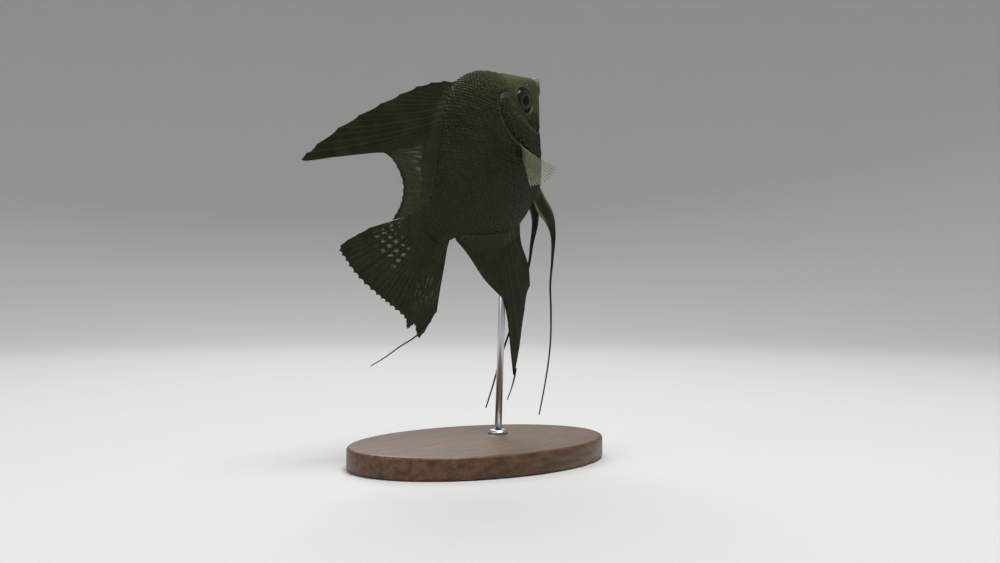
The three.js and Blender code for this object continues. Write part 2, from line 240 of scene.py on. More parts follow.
class Finish:
    def __init__(self, name, **constants):
        self.material = bpy.data.materials.new(name)
        self.material.use_nodes = True
        self.tree = self.material.node_tree
        self.shader = next(n for n in self.tree.nodes if n.type == "BSDF_PRINCIPLED")
        for socket, value in constants.items():
            self.shader.inputs[socket.replace("_", " ")].default_value = value

    def node(self, kind, settings=None, sockets=None, out=0):
        made = self.tree.nodes.new(kind)
        for setting, value in (settings or {}).items():
            if setting == "stops":
                for stop, (position, colour) in zip(made.color_ramp.elements, value):
                    stop.position = position
                    stop.color = colour
            else:
                setattr(made, setting, value)
        for socket, value in (sockets or {}).items():
            if isinstance(value, Link):
                self.tree.links.new(value.socket, made.inputs[socket])
            else:
                made.inputs[socket].default_value = value
        return Link(self, made.outputs[out])

    def feed(self, **links):
        for socket, value in links.items():
            self.tree.links.new(value.socket, self.shader.inputs[socket.replace("_", " ")])

    def place(self):
        return self.node("ShaderNodeTexCoord", out="Object")

    def uv(self, name):
        return self.node("ShaderNodeUVMap", {"uv_map": name})

    def attribute(self, name):
        return self.node("ShaderNodeAttribute", {"attribute_name": name}, out="Fac")

    def axes(self, vector):
        split = self.node("ShaderNodeSeparateXYZ", None, {0: vector})
        return [Link(self, socket) for socket in split.socket.node.outputs]

    def fishAxes(self, place):
        # aft, side and rise in millimetres, without the bend of the tail
        x, y, z = self.axes(place)
        dx = x * 1000 - stance["snout"][0]
        dz = z * 1000 - stance["snout"][1]
        return 0 - dx * cosPitch - dz * sinPitch, y * 1000, dz * cosPitch - dx * sinPitch

    def noise(self, place, scale, detail=2, rough=0.5):
        sockets = {"Vector": place, "Scale": scale, "Detail": detail, "Roughness": rough}
        return self.node("ShaderNodeTexNoise", None, sockets)

    def blend(self, first, second, factor):
        # first where the factor is 0, second where it is 1
        mixer = self.tree.nodes.new("ShaderNodeMix")
        mixer.data_type = "RGBA"
        for socket, value in zip(("Factor", "A", "B"), (factor, first, second)):
            pin = [s for s in mixer.inputs if s.name == socket and s.enabled][0]
            if isinstance(value, Link):
                self.tree.links.new(value.socket, pin)
            elif socket == "Factor":
                pin.default_value = value
            else:
                pin.default_value = (*value, 1)
        return Link(self, [s for s in mixer.outputs if s.enabled][0])

    def bump(self, height, distance, strength=1.0):
        sockets = {"Height": height, "Distance": distance, "Strength": strength}
        self.feed(Normal=self.node("ShaderNodeBump", None, sockets))


# ---- the body's form ----

body = {
    "start": 0.9, "end": 86.6,
    "keel": 1.45,                     # over 1 draws back and belly to a ridge
    "ridge": 0.25,                    # half the thickness of that ridge
    "coatDepth": 0.28,                # how far the skin lies under the tops of the scales
    "roundFront": 1.1, "roundBack": 1.4,
    "waistCrowding": 0.45,            # draws the skin's rows to eyes and cheeks
}
backRise = through([
    [0.9, 2.6], [2.2, 3.9], [4, 5.6], [8.4, 9.8], [14, 15.2], [20.5, 21.2], [26, 25.4], [32, 28.6],
    [38, 30.4], [44, 30.6], [52, 27.8], [61, 21.6], [70, 14], [77, 8.7], [82, 7], [85, 4.6], [86.6, 1.4],
])
bellyRise = through([
    [0.9, 1.3], [2, -0.6], [4, -2.9], [7.5, -7.1], [11.5, -11.6], [15.6, -16], [19, -20.4],
    [22.5, -25], [26.5, -29.2], [34, -31], [42, -31.6], [49, -31], [57, -26.8], [66, -19.6],
    [74, -12.4], [79, -10], [83, -8.4], [85.2, -5.8], [86.6, -3],
])
halfWidth = through([
    [0.9, 1], [2.5, 1.9], [6, 3.1], [11, 4.4], [17, 5.7], [24, 6.7], [32, 7.1], [45, 6.6],
    [58, 5.2], [70, 3.5], [79, 2.3], [84, 1.6], [86.6, 0.9],
])
waistRise = through([[0.9, 1.9], [10, 1.2], [24, -1.5], [45, 0], [70, -0.5], [86.6, -0.8]])


class BodyChart:
    # the bare body by aft and by q, which runs from -1 at the belly over 0 at the waist to 1 at
    # the back by distance along the skin, and on past either to the other side
    rows, turns, columns, reach = 420, 361, 281, 1.4

    def __init__(self):
        self.aft = np.linspace(body["start"], body["end"], self.rows)
        aft = self.aft[:, None]
        turn = np.linspace(-math.pi / 2, math.pi / 2, self.turns)[None]
        up, out = np.sin(turn), np.abs(np.cos(turn))
        waist = waistRise(aft)
        reach = np.where(up > 0, backRise(aft) - waist, waist - bellyRise(aft))
        side = out ** body["keel"] * halfWidth(aft) + body["ridge"] * np.minimum(4 * out, 1)
        rise = waist + reach * up
        round_ = self.rounding(aft)
        side, rise = side * round_, waist + (rise - waist) * round_
        arc = np.hypot(np.diff(side, axis=1), np.diff(rise, axis=1)).cumsum(1)
        arc = np.concatenate([np.zeros((self.rows, 1)), arc], 1)
        arc -= arc[:, [self.turns // 2]]
        self.top, self.bottom = arc[:, -1] + 1e-6, -arc[:, 0] + 1e-6
        self.q = np.linspace(-self.reach, self.reach, self.columns)
        folded = np.where(np.abs(self.q) > 1, np.sign(self.q) * (2 - np.abs(self.q)), self.q)
        mirror = np.where(np.abs(self.q) > 1, -1, 1)
        self.table = np.empty((self.rows, self.columns, 3))
        for i in range(self.rows):
            where = folded * np.where(folded > 0, self.top[i], self.bottom[i])
            self.table[i, :, 0] = self.aft[i]
            self.table[i, :, 1] = np.interp(where, arc[i], side[i]) * mirror
            self.table[i, :, 2] = np.interp(where, arc[i], rise[i])
        normal = np.cross(np.gradient(self.table, axis=1), np.gradient(self.table, axis=0))
        self.normal = normal / np.maximum(np.linalg.norm(normal, axis=2, keepdims=True), 1e-9)
        if self.normal[self.rows // 2, self.columns // 2, 1] < 0:
            self.normal *= -1
        self.normal[0] = (-1, 0, 0)
        self.normal[-1] = (1, 0, 0)

    def rounding(self, aft):
        front = np.clip((aft - body["start"]) / body["roundFront"], 0, 1)
        back = np.clip((body["end"] - aft) / body["roundBack"], 0, 1)
        return np.sqrt(1 - (1 - front) ** 2) * np.sqrt(1 - (1 - back) ** 2)

    def look(self, table, aft, q):
        row = np.clip((aft - self.aft[0]) / (self.aft[1] - self.aft[0]), 0, self.rows - 1.001)
        column = np.clip((q - self.q[0]) / (self.q[1] - self.q[0]), 0, self.columns - 1.001)
        i, j = row.astype(int), column.astype(int)
        a, b = (row - i)[:, None], (column - j)[:, None]
        upper = mix(table[i, j], table[i, j + 1], b)
        lower = mix(table[i + 1, j], table[i + 1, j + 1], b)
        return mix(upper, lower, a)

    def extent(self, aft, q):
        return np.where(q > 0, np.interp(aft, self.aft, self.top), np.interp(aft, self.aft, self.bottom))

    def place(self, aft, q, hand, lift):
        point = self.look(self.table, aft, q)
        normal = self.look(self.normal, aft, q)
        point = point + normal * (relief(point[:, 0], point[:, 2]) + lift)[:, None]
        return toWorld(point[:, 0], point[:, 1] * hand, point[:, 2])


# ---- the face, gill cover and fin bases, as heights over the bare body ----

eyeForm = {"aft": 17.5, "rise": 4.3, "side": 3.7, "radius": 4.8, "depth": 2.9, "turn": 0.1}
face = {
    "coverEdge": [[22.6, 12], [27, 14.4], [31, 11.2], [32.8, 4.2], [31.8, -2], [29.6, -8], [27, -13.6],
                  [23, -18], [18.4, -17.2], [15.4, -12.6], [18.4, -7.6], [21.4, -1.4], [22.4, 5]],
    "coverStep": 0.42, "coverGroove": 0.34,
    "cheekEdge": [[23.2, 11], [23.4, 5], [22.4, -1.5], [19.6, -7.6], [15.2, -11.4], [11.5, -12.4]],
    "gape": [[0.4, 1.95], [1.6, 1.2], [3.1, 0.1], [4.7, -1.5]],
    "lipHeight": 0.62, "lipWidth": 0.62, "gapeDepth": 0.9,
    "nostril": (10.4, 6.9),
    "pores": [(12.6, 9.6), (14.8, 11.6), (18.5, 12.2), (9.2, 2.6), (10.6, -0.6), (12.4, -3), (15, -4.2),
              (6.6, -5), (8.8, -8), (11.6, -10.6), (15.6, -10.4), (19, -6.8), (21.6, -2.4), (22.4, 3)],
    "pectoralBase": (34.6, -5.8), "pelvicBase": (32.6, -27.4),
}
coverLine = along(face["coverEdge"], np.arange(52) / 52, closed=True)
cheekLine = along(face["cheekEdge"], np.linspace(0, 1, 21))
gapeLine = along(face["gape"], np.linspace(0, 1, 9))
scalesBegin = through([      # at each rise, how far aft the first scale is
    [-33, 21.5], [-22, 22.5], [-18, 17.5], [-12.5, 12.4], [-7, 11], [-2.5, 12.6], [-0.6, 18], [3, 23.6],
    [9, 23.4], [11.5, 21], [14, 17.6], [18, 15.6], [33, 15.4],
])


def scaled(aft, rise):
    return smooth((aft - scalesBegin(rise) + 0.8) / 4)


def relief(aft, rise):
    cover = offLine(aft, rise, coverLine, closed=True)
    cheek = offLine(aft, rise, cheekLine)
    gape = np.abs(offLine(aft, rise, gapeLine))
    rear = smooth((aft - 19.5) / 4)
    height = -body["coatDepth"] * scaled(aft, rise)
    height = height + face["coverStep"] * smooth((cover + 0.15) / 0.5) * rear
    height = height - face["coverGroove"] * swell((cover + 0.5) / 0.4) * rear
    nearCheek = swell(np.minimum(np.abs(cheek), 3) / 0.3)
    height = height - 0.24 * nearCheek + 0.14 * swell((cheek - 0.9) / 0.55)
    radius = np.hypot(aft - eyeForm["aft"], rise - eyeForm["rise"])
    height = height - 1.5 * smooth((4.95 - radius) / 0.6) + 0.34 * swell((radius - 5.35) / 0.5)
    lips = smooth((6 - aft) / 1.8)
    height = height + face["lipHeight"] * swell((gape - 0.85) / face["lipWidth"]) * lips
    height = height - face["gapeDepth"] * swell(gape / 0.3) * smooth((5.4 - aft) / 1)
    height = height - 0.3 * swell((gape - 2.1) / 0.5) * smooth((6.5 - aft) / 2)
    nostril = np.hypot(aft - face["nostril"][0], rise - face["nostril"][1])
    height = height - 0.55 * swell(nostril / 0.42) + 0.12 * swell((nostril - 0.85) / 0.25)
    for poreAft, poreRise in face["pores"]:
        height = height - 0.16 * swell(np.hypot(aft - poreAft, rise - poreRise) / 0.3)
    pectoral = np.hypot((aft - face["pectoralBase"][0]) / 1.5, (rise - face["pectoralBase"][1]) / 3.2)
    height = height + 0.55 * smooth(1.25 - pectoral)
    pelvic = np.hypot((aft - face["pelvicBase"][0]) / 4.5, (rise - face["pelvicBase"][1]) / 2.6)
    return height + 0.5 * smooth(1.3 - pelvic)


chart = BodyChart()


# ---- finishes of flesh and fins ----

flesh = {
    "dark": (0.0036, 0.0047, 0.0019), "olive": (0.015, 0.022, 0.0075), "bronze": (0.050, 0.048, 0.017),
    # cheek is a painted sheen for the cheek and gill cover; crown is a lighter head top, partly a paler pigment and
    # partly painted light from above
    "cheek": (0.040, 0.049, 0.022), "crown": (0.078, 0.097, 0.043), "lip": (0.090, 0.100, 0.086),
    "sheen": (0.88, 1.0, 0.66, 1),
}


def markings(finish, place):
    # the same colouring for the skin and the scales over it: pigment, a painted sheen on cheeks and gill covers, and
    # painted light from above on the crown and upper back
    aft, side, rise = finish.fishAxes(place)
    cloud = finish.noise(place, 70, 3).between(0.3, 0.72)
    base = finish.blend(flesh["dark"], flesh["olive"], cloud * 0.55)
    # painted sheen: a paler olive over cheek and gill cover stands in for their bronze-green iridescence
    base = finish.blend(base, flesh["cheek"], aft.between(33, 17) * (rise + 18).between(-4, 10) * 0.6)
    # lighter top of the head: partly a paler pigment, partly painted light from above
    crown = (rise - aft * 0.42).between(1, 12) * aft.between(36, 14)
    base = finish.blend(base, flesh["crown"], crown * (0.5 + 0.4 * cloud))
    # painted light from above: the upper back is lighter towards the top
    paintedBackToplight = (rise - 12).between(0, 18) * 0.35
    base = finish.blend(base, flesh["olive"], paintedBackToplight)
    mouth = aft.between(6, 2) * (rise + 1).between(-6, 0)
    return finish.blend(base, flesh["lip"], mouth * 0.6)


def skinFinish():
    finish = Finish("angelSkin", Specular_IOR_Level=0.26, Specular_Tint=flesh["sheen"])
    place = finish.place()
    pores = finish.noise(place, 1900, 2)
    finish.feed(Base_Color=finish.blend(markings(finish, place), flesh["dark"], pores.between(0.55, 0.75) * 0.4))
    finish.feed(Roughness=0.40 + 0.22 * finish.noise(place, 260, 2))
    finish.bump(pores + 0.6 * finish.noise(place, 620, 2), 0.00012, 0.5)
    return finish.material


def scaleFinish():
    finish = Finish("angelScales", Specular_IOR_Level=0.34, Specular_Tint=flesh["sheen"])
    place = finish.place()
    tone = finish.attribute("tone")
    rim = finish.attribute("rim")
    colour = finish.blend(markings(finish, place), flesh["bronze"], tone * 0.28)
    colour = finish.blend(colour, flesh["dark"], rim.between(0.55, 1) * 0.75)
    finish.feed(Base_Color=colour)
    finish.feed(Roughness=0.36 + 0.14 * tone + 0.12 * rim)
    finish.bump(finish.noise(place, 2600, 2), 0.00006, 0.4)
    return finish.material


# ---- skin ----

def makeSkin():
    across, round_ = 330, 270
    bm = gridSheet(across, round_)

    def shape(u, v, z):
        aft = mix(body["start"], body["end"], u * (0.62 + 0.38 * u))
        hand = np.where(v <= 0.5, 1, -1)
        even = 4 * np.where(v <= 0.5, v, 1 - v) - 1
        q = even - body["waistCrowding"] * np.sin(np.pi * even) / np.pi
        return chart.place(aft, q, hand, np.zeros_like(aft))

    warp(bm, shape)
    bmesh.ops.remove_doubles(bm, verts=bm.verts[:], dist=2e-6)
    bm.verts.ensure_lookup_table()
    lipFront = stance["snout"][0] * millimetre - 0.0035
    lips = [vert for vert in bm.verts if vert.co.x > lipFront and vert.co.z > 0.135]
    for turn in range(3):
        bmesh.ops.smooth_vert(bm, verts=lips, factor=0.5, use_axis_x=True, use_axis_y=True, use_axis_z=True)
    bmesh.ops.recalc_face_normals(bm, faces=bm.faces[:])
    nodes = ["head", "lower_jaw", "gill_cover_left", "gill_cover_right", "trunk", "tail"]
    return newPiece("angel_skin", bm, skinFinish(), nodes)


makeSkin()
print("skin made")

# ---- scales ----

scaleForm = {
    "pitch": through([[10, 0.95], [20, 1.15], [28, 1.45], [40, 1.65], [60, 1.6], [75, 1.3], [86, 1.1]]),
    "rowShare": 0.6,                  # between rows, as a share of the pitch
    "length": 1.95, "width": 2.7,     # in pitches and in rows
    "thickness": 0.08, "rise": 0.26, "dip": -0.1, "crown": 0.05,
    "fade": 6.0,                      # how far behind the first scales they stand at full height
    "patch": 0.003,                   # each scale's patch on the unwrap
    "seed": 7,
}


def scaleShape(l, w, z):
    # one scale: l from its root to its free edge, w across, z from its face down; lift in millimetres
    across = 2 * w - 1
    reach = l * (1 - 0.66 * np.abs(across) ** 1.8) * scaleForm["length"]
    spread = across * (0.75 + 0.25 * smooth(l * 2.5)) * scaleForm["width"] / 2
    share = reach / scaleForm["length"]
    lift = mix(scaleForm["dip"], scaleForm["rise"], share) + scaleForm["crown"] * (1 - across ** 2)
    return reach, spread, lift + scaleForm["thickness"] * z * (1 - 0.4 * l)


def joinScales(name, roots, place, unwrap, finish, parts=(3, 6)):
    # roots are lattice places; place(i, j, lift) gives the world, unwrap(i, j) the place on the chart
    bm = gridSheet(*parts, thick=True)
    bmesh.ops.recalc_face_normals(bm, faces=bm.faces[:])
    local = np.array([vert.co for vert in bm.verts])
    faces = np.array([[vert.index for vert in face.verts] for face in bm.faces])
    bm.free()
    random = np.random.default_rng(scaleForm["seed"])
    count, size = len(roots), len(local)
    reach, spread, lift = scaleShape(*local.T)
    grown = random.uniform(0.93, 1.07, (count, 1))
    tipped = random.uniform(-0.06, 0.06, (count, 1))
    i = (roots[:, :1] + reach * grown + random.uniform(-0.04, 0.04, (count, 1))).ravel()
    j = (roots[:, 1:] + spread * grown + tipped * reach).ravel()
    verts = place(i, j, np.tile(lift, count) * np.repeat(random.uniform(0.85, 1.15, count), size))
    corner = verts[:size][faces] - verts[:size].mean(0)
    if (corner[:, 0] * np.cross(corner[:, 1], corner[:, 2])).sum() < 0:
        faces = faces[:, ::-1]
    every = (faces[None] + size * np.arange(count)[:, None, None]).reshape(-1, 4)
    mesh = bpy.data.meshes.new(name)
    mesh.vertices.add(len(verts))
    mesh.vertices.foreach_set("co", verts.ravel())
    mesh.loops.add(every.size)
    mesh.loops.foreach_set("vertex_index", every.ravel())
    mesh.polygons.add(len(every))
    mesh.polygons.foreach_set("loop_start", np.arange(0, every.size, 4))
    mesh.update(calc_edges=True)
    patch = unwrap(*roots.T)[:, None] + (local[None, :, :2] - 0.5) * scaleForm["patch"]
    layer = mesh.uv_layers.new(name="OFBake")
    layer.data.foreach_set("uv", patch.reshape(-1, 2)[every.ravel()].ravel())
    tone = mesh.attributes.new("tone", "FLOAT", "POINT")
    tone.data.foreach_set("value", np.repeat(random.random(count), size))
    rim = mesh.attributes.new("rim", "FLOAT", "POINT")
    edge = np.maximum(smooth(local[:, 0] * 1.6 - 0.6), np.abs(2 * local[:, 1] - 1) ** 3)
    rim.data.foreach_set("value", np.tile(edge, count))
    return dress(name, mesh, finish)


scaleCoat = scaleFinish()


def makeCoat():
    lattice = np.linspace(6, 88, 400)
    count = np.concatenate([[0], np.cumsum(np.diff(lattice) / scaleForm["pitch"](lattice[1:]))])

    def onSkin(i, j):
        aft = np.interp(i, count, lattice)
        arc = j * scaleForm["pitch"](aft) * scaleForm["rowShare"]
        return aft, arc / chart.extent(aft, arc)

    columns, rows = np.meshgrid(np.arange(int(count[-1])), np.arange(-60, 61))
    roots = np.stack([columns + 0.5 * (rows % 2), rows], -1).reshape(-1, 2).astype(float)
    aft, q = onSkin(*roots.T)
    point = chart.look(chart.table, aft, q)
    rise = point[:, 2]
    cover = offLine(aft, rise, coverLine, closed=True)
    cheek = offLine(aft, rise, cheekLine)
    clear = np.hypot(aft - eyeForm["aft"], rise - eyeForm["rise"]) > eyeForm["radius"] + 1.2
    ragged = np.random.default_rng(scaleForm["seed"]).uniform(0, 1, len(roots)) ** 2
    clear &= aft > scalesBegin(rise) + 2.2 * ragged
    bare = mix(1.1, 0.1, smooth((aft - 27) / 4))
    clear &= (cover > 1.5) | (cover < -bare) | (aft < 21)
    clear &= (cheek > 1.7) | (cheek < 0.15) | (aft < 12)
    clear &= (aft < 85.6) & (np.abs(q) <= 1.001)
    clear &= (aft > 28) | (q > -0.9)
    pectoral = np.hypot((aft - face["pectoralBase"][0]) / 1.6, (rise - face["pectoralBase"][1]) / 3.3)
    clear &= pectoral > 1
    middle = np.median(roots[clear, 0])
    for hand, sideName in ((1, "left"), (-1, "right")):
        for part, near in (("front", roots[:, 0] < middle), ("rear", roots[:, 0] >= middle)):
            kept = roots[clear & near & ((np.abs(q) < 1) | (hand > 0))]
            low, high = kept.min(0), kept.max(0)

            def place(i, j, lift):
                aft, q = onSkin(i, j)
                point = chart.look(chart.table, aft, q)
                ahead = (aft - scalesBegin(point[:, 2])) / scaleForm["fade"]
                return chart.place(aft, q, hand, lift * mix(0.15, 1, smooth(ahead)))

            def unwrap(i, j):
                return np.stack([(i - low[0]) / (high[0] - low[0]), (j - low[1]) / (high[1] - low[1])], -1) * 0.96 + 0.02

            joinScales(f"scales_{sideName}_{part}", kept, place, unwrap, scaleCoat)
            print("scales", sideName, part, len(kept))


makeCoat()
print("scales made")

# ---- fins along the middle plane ----

# tips are [ray, aft, rise]; rays are numbered as the spines are, and two soft rays share a number
dorsal = {
    "root": [[39, 28.5], [48, 27.6], [58, 22], [68, 14], [79.4, 5.6]],
    "tips": [[0, 39.6, 31], [1.5, 48, 37], [3, 58, 42.2], [4.5, 70, 46.4], [6, 84, 50.6], [7.5, 98, 53.6],
             [9, 110.6, 54], [10.5, 103, 48.2], [12, 92, 41.2], [14, 84.5, 35.5], [15.5, 82.4, 29.5],
             [17, 84, 21], [18.5, 88.6, 15.7], [20, 94.4, 13.5]],
    "spines": 8.5, "notch": 1.5, "web": 0.45, "sweep": 0.06, "wave": 0.5,
}
anal = {
    "root": [[46, -30], [55, -26.5], [65, -19], [71, -13.8], [76, -9.4]],
    "tips": [[0, 47.2, -33.4], [1, 51.2, -38.6], [2, 53.6, -47], [3, 58, -53], [4, 66, -58],
             [5, 85.2, -73.8], [6, 80.6, -65.6], [7, 75.6, -57.4], [8, 72.4, -50.8], [11, 73.2, -42.4],
             [14, 75, -31], [16, 76, -20], [18, 77, -12.4]],
    "spines": 4, "notch": 1.2, "web": 0.4, "sweep": 0.05, "wave": 0.5,
}
caudal = {
    "root": [[80, 5.6], [83.5, 3.6], [85, -1], [83, -6], [79.5, -9]],
    "tips": [[0, 103.5, 18.1], [1.5, 115.8, 21.4], [3, 117.2, 16], [4.5, 116.4, 7], [6, 114.2, -3],
             [7.5, 112.6, -10], [9, 111.2, -17.6], [10.5, 112.6, -21.6], [12, 109, -23.4],
             [13.5, 110, -28.8], [15, 99.3, -26.2]],
    "spines": 0, "notch": 0, "web": 0.8, "sweep": 0, "wave": 0.6,
}
finForm = {
    "web": 0.16, "ray": 0.34, "spine": 0.5, "root": 0.9,     # thicknesses in millimetres
    "columns": 16, "rows": 46,                               # columns to each ray number
    "sheath": 0.16,                                          # share of a ray inside the fleshy base
}


def rayHeight(fin, ray, v):
    # 1 along each spine and soft ray, 0 in the web; soft rays fork twice
    spine = swell((ray - np.round(ray)) / 0.15)
    soft = (2 * ray - np.round(2 * ray)) * 2
    fork = 0.34 * smooth((v - 0.38) / 0.4)
    branch = swell((np.abs(soft) - fork) / 0.24)
    return np.where(ray < fin["spines"], spine, branch)


def finRays(fin):
    return fin["tips"][-1][0]


def finSurface(fin):
    count = finRays(fin)
    tipAft = through([[ray, aft] for ray, aft, rise in fin["tips"]])
    tipRise = through([[ray, rise] for ray, aft, rise in fin["tips"]])

    def middle(u, v):
        ray = u * count
        root = along(fin["root"], u)
        tip = np.stack([tipAft(ray), tipRise(ray)], -1)
        spiny = ray < fin["spines"]
        between = np.where(spiny, ray % 1, 2 * ray % 1)
        cut = np.where(spiny, fin["notch"], fin["web"]) * (4 * between * (1 - between)) ** 0.8
        length = np.linalg.norm(tip - root, axis=-1)
        tip = mix(tip, root, (cut / length)[..., None])
        reach = tip - root
        across = np.stack([reach[..., 1], -reach[..., 0]], -1) * np.sign(reach[..., 1:])
        flat = root + reach * v[..., None] + across * (fin["sweep"] * v * (1 - v))[..., None]
        wave = fin["wave"] * v ** 2 * np.sin(ray * 0.9 + 2.5 * v)
        return np.stack([flat[..., 0], wave, flat[..., 1]], -1)

    return middle


def finThickness(fin):
    def half(u, v):
        ray = u * finRays(fin)
        spiny = ray < fin["spines"]
        bone = np.where(spiny, finForm["spine"], finForm["ray"]) * (1 - 0.7 * v)
        segments = 1 + 0.10 * np.where(spiny, 0, np.sin(v * 150))
        ridge = bone * rayHeight(fin, ray, v) * segments
        web = finForm["web"] * (1 - 0.45 * v)
        flesh_ = finForm["root"] * smooth(1 - v / finForm["sheath"])
        return (web + ridge + flesh_) / 2 * smooth(4 * (1 - v) + 0.35)

    return half


def finFinish(name, rays, clear):
    # clear(ray, along, finish) gives where the web is clear glassy skin
    finish = Finish(name, Specular_IOR_Level=0.24, Specular_Tint=flesh["sheen"])
    place = finish.place()
    u, v, none = finish.axes(finish.uv("sheet"))
    ray = u * rays
    window = clear(finish, ray, v, place)
    streak = (ray * 2).fraction() - 0.5
    bone = streak.size().between(0.32, 0.5)
    cloud = finish.noise(place, 190, 3)
    dark = finish.blend(flesh["dark"], flesh["olive"], cloud.between(0.35, 0.75) * 0.6)
    dark = finish.blend(dark, flesh["bronze"], bone * 0.3)
    finish.feed(Base_Color=finish.blend(dark, (0.11, 0.125, 0.065), window))
    finish.feed(Roughness=0.36 + 0.25 * cloud)
    finish.feed(Alpha=(1 - 0.72 * window))
    finish.bump(finish.noise(place, 1400, 2), 0.00008, 0.5)
    return finish.material


def spots(finish, ray, v, perRay, slant, sizeAlong, ragged):
    # rows of clear spots in the webs, one row stepping on by slant from each ray to the next
    inWeb = 1 - ((ray.fraction() - 0.5).size() * 2)
    step = ((v * perRay + ray * slant).fraction() - 0.5).size()
    return inWeb.between(0.42, 0.62) * step.between(sizeAlong, sizeAlong * 0.55) * ragged


def dorsalClear(finish, ray, v, place):
    ragged = finish.noise(place, 420, 2)
    dashes = spots(finish, ray, v, 7, 0.35, 0.24, ragged.between(0.4, 0.55))
    dashes = dashes * ray.between(6, 5) * v.between(0.45, 0.6) * v.between(0.9, 0.75) * 0.09
    rear = ray.between(10.5, 12.5) * v.between(0.16, 0.26) * v.between(0.98, 0.86)
    slits = spots(finish, ray, v, 3.1, 0.34, 0.46, 1) * ray.between(10.5, 12) * v.between(0.18, 0.26)
    slits = slits * v.between(0.58, 0.42) * ray.between(18, 16.5)
    return (rear * (0.12 + 0.08 * ragged)).larger(slits * 0.46).larger(dashes)


def analClear(finish, ray, v, place):
    ragged = finish.noise(place, 520, 2).between(0.42, 0.56)
    margin = v.between(0.62, 0.75) * v.between(0.99, 0.94) * ray.between(6.5, 8)
    return spots(finish, ray * 2, v, 16, 0.3, 0.3, ragged) * margin * 0.16


def caudalClear(finish, ray, v, place):
    ragged = finish.noise(place, 500, 2).between(0.36, 0.52)
    rows = spots(finish, ray * 1.17, v, 10.8, 0.4, 0.3, ragged)
    upper = rows * ray.between(7, 5.2) * v.between(0.29, 0.36) * v.between(0.74, 0.55)
    faint = rows * v.between(0.3, 0.4) * v.between(0.98, 0.8) * 0.06
    slits = spots(finish, ray, v, 4.2, 0.3, 0.46, ragged) * ray.between(8.6, 9.6) * v.between(0.36, 0.44)
    return (upper * 0.62).larger(faint).larger(slits * v.between(0.9, 0.7) * 0.2)


def makeMedianFin(name, fin, clear, nodes):
    columns = int(finRays(fin) * finForm["columns"])
    bm = slab(columns, finForm["rows"], finSurface(fin), finThickness(fin))
    return newPiece(name, bm, finFinish(name, finRays(fin), clear), nodes)


def makeThread(name, points, startWidth, endWidth, finish, side=0):
    line = np.array(points, float)

    def middle(u, v):
        point = along(line, v)
        ahead = along(line, v + 0.01) - along(line, v - 0.01)
        ahead /= np.linalg.norm(ahead, axis=-1, keepdims=True)
        width = mix(startWidth, endWidth, v) * (1 - 0.6 * smooth((v - 0.96) / 0.04))
        across = ((u - 0.5) * width)[..., None] * np.stack([-ahead[..., 1], ahead[..., 0]], -1)
        flat = point + across
        return np.stack([flat[..., 0], np.full_like(u, side), flat[..., 1]], -1)

    def half(u, v):
        width = mix(startWidth, endWidth, v) * (1 - 0.6 * smooth((v - 0.96) / 0.04))
        return width / 2 * np.sqrt(np.clip(1 - (2 * u - 1) ** 2, 0.02, 1))

    return newPiece(name, slab(8, 60, middle, half), finish)


def makeFinScales(name, fin, pitch, heights):
    # small scales over the base of a fin, heights(u) millimetres up each ray, on both sides
    surface, half = finSurface(fin), finThickness(fin)
    u = np.linspace(0, 1, 200)
    root = along(fin["root"], u)
    arc = np.concatenate([[0], np.hypot(*np.diff(root, axis=0).T).cumsum()])
    length = np.linalg.norm(surface(u, np.ones_like(u)) - surface(u, np.zeros_like(u)), axis=1)
    rowStep = pitch * scaleForm["rowShare"]
    cover = np.minimum(heights(u), length * 0.3)
    ups, acrosses = np.meshgrid(np.arange(0, cover.max() / pitch), np.arange(1, arc[-1] / rowStep - 1))
    roots = np.stack([ups + 0.5 * (acrosses % 2), acrosses], -1).reshape(-1, 2)
    rootU = np.interp(roots[:, 1] * rowStep, arc, u)
    roots = roots[roots[:, 0] * pitch < np.interp(rootU, u, cover) - 0.4]
    low, high = roots.min(0), roots.max(0)
    for hand, sideName in ((1, "left"), (-1, "right")):
        def place(i, j, lift):
            at = np.interp(j * rowStep, arc, u)
            v = i * pitch / np.interp(at, u, length)
            point = surface(at, v)
            fade = mix(1, 0.3, smooth(i * pitch / np.interp(at, u, cover)))
            point[:, 1] += hand * (half(at, v) + lift * 0.6 * fade)
            return toWorld(*point.T)

        def unwrap(i, j):
            return np.stack([(i - low[0]) / (high[0] - low[0]), (j - low[1]) / (high[1] - low[1])], -1) * 0.96 + 0.02

        joinScales(f"{name}_{sideName}", roots, place, unwrap, scaleCoat, parts=(3, 4))
    print(name, 2 * len(roots))


makeFinScales("scales_dorsal", dorsal, 1.05, through([[0, 3.6], [0.4, 5.5], [1, 9]]))
makeFinScales("scales_anal", anal, 1.05, through([[0, 3.4], [0.4, 6], [1, 8]]))
makeFinScales("scales_caudal", caudal, 0.95, through([[0, 8], [0.5, 7], [1, 8]]))
makeMedianFin("dorsal_rays", dorsal, dorsalClear, ["dorsal_fin"])
makeMedianFin("anal_rays", anal, analClear, ["anal_fin"])
makeMedianFin("caudal_rays", caudal, caudalClear, ["caudal_fin"])


def threadFinish():
    finish = Finish("finThread", Specular_IOR_Level=0.24, Specular_Tint=flesh["sheen"])
    place = finish.place()
    cloud = finish.noise(place, 900, 2)
    finish.feed(Base_Color=finish.blend(flesh["dark"], flesh["olive"], cloud))
    finish.feed(Roughness=0.4 + 0.2 * cloud)
    return finish.material


thread = threadFinish()
makeThread("caudal_thread", [[107, -27.2], [112, -26.4], [117.6, -24.8], [124.2, -23.5], [130.1, -21.8]],
           0.7, 0.35, thread)
makeThread("anal_thread", [[83.4, -72.2], [87, -75], [90, -76.7], [94, -78.6]], 0.7, 0.35, thread)
print("median fins made")

# ---- paired fins ----

